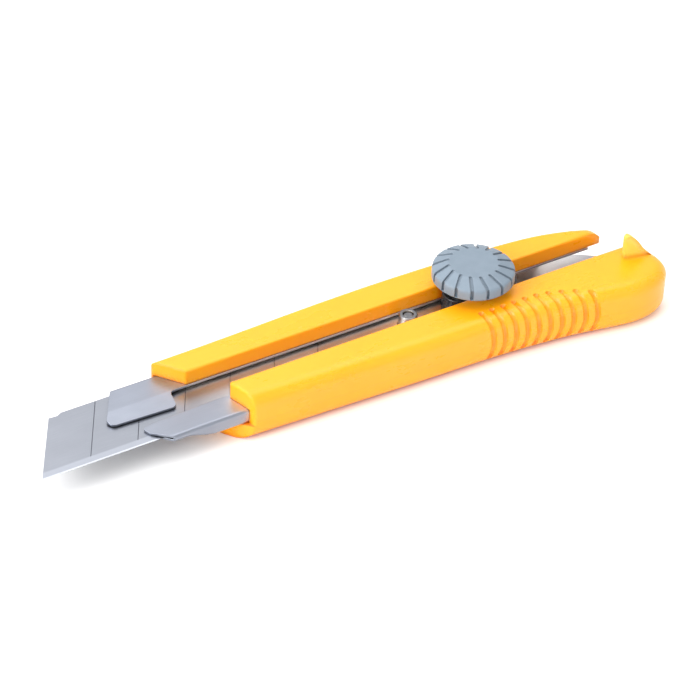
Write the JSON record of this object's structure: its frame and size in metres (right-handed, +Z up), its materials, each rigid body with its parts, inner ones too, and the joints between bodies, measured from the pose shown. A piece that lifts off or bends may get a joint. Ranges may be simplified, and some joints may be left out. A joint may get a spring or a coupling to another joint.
{
  "type": "utility knife",
  "caption": "Snap-off utility knife: moulded grip handle with a slotted metal blade channel, scored blade extended, and a ribbed round wheel that clamps the sliding blade carrier.",
  "frame": {"origin": "centre of the tool's outline in plan, on the rest face under the handle", "axes": "+X from the blade's point to the tail, +Y from the cutting edge to the spine, +Z up out of the lock wheel"},
  "size_m": [0.1582, 0.0308, 0.0184],
  "materials": {
    "yellow_plastic": "smooth moulded, semi-gloss",
    "grey_plastic": "satin moulded",
    "channel_steel": "rolled sheet, satin",
    "blade_steel": "fine ground along the length",
    "slider_steel": "rolled sheet, satin",
    "dark_steel": "blackened, oiled",
    "pin_steel": "turned, satin",
    "bolt_steel": "zinc plated, satin",
    "washer_steel": "zinc plated, satin",
    "nut_brass": "turned, satin"
  },
  "bodies": {
    "handle": {"handle_body": "yellow_plastic", "blade_channel": "channel_steel"},
    "carriage": {"snap_blade": "blade_steel", "slider_plate": "slider_steel", "guide_block": "dark_steel", "pin_sleeve": "pin_steel", "pin_rivet": "pin_steel", "clamp_bolt": "bolt_steel"},
    "washers": {"flat_washer": "washer_steel", "spring_washer": "washer_steel"},
    "wheel": {"lock_wheel": "grey_plastic", "wheel_nut": "nut_brass"}
  },
  "joints": [
    {"name": "blade_slide", "type": "slide", "parent": "handle", "child": "carriage", "axis": [1, 0, 0], "range_m": [-0.042, 0.028]},
    {"name": "wheel_lift", "type": "slide", "parent": "carriage", "child": "washers", "axis": [0, 0, 1], "range_m": [0, 0.0006]},
    {"name": "wheel_turn", "type": "hinge", "parent": "washers", "child": "wheel", "pos_m": [0.03365, 0.00319, 0.0157], "axis": [0, 0, 1], "range_deg": [0, 270]}
  ],
  "couplings": [
    {"joint": "wheel_turn", "follows": "wheel_lift", "rad_per_m": 7854}
  ]
}
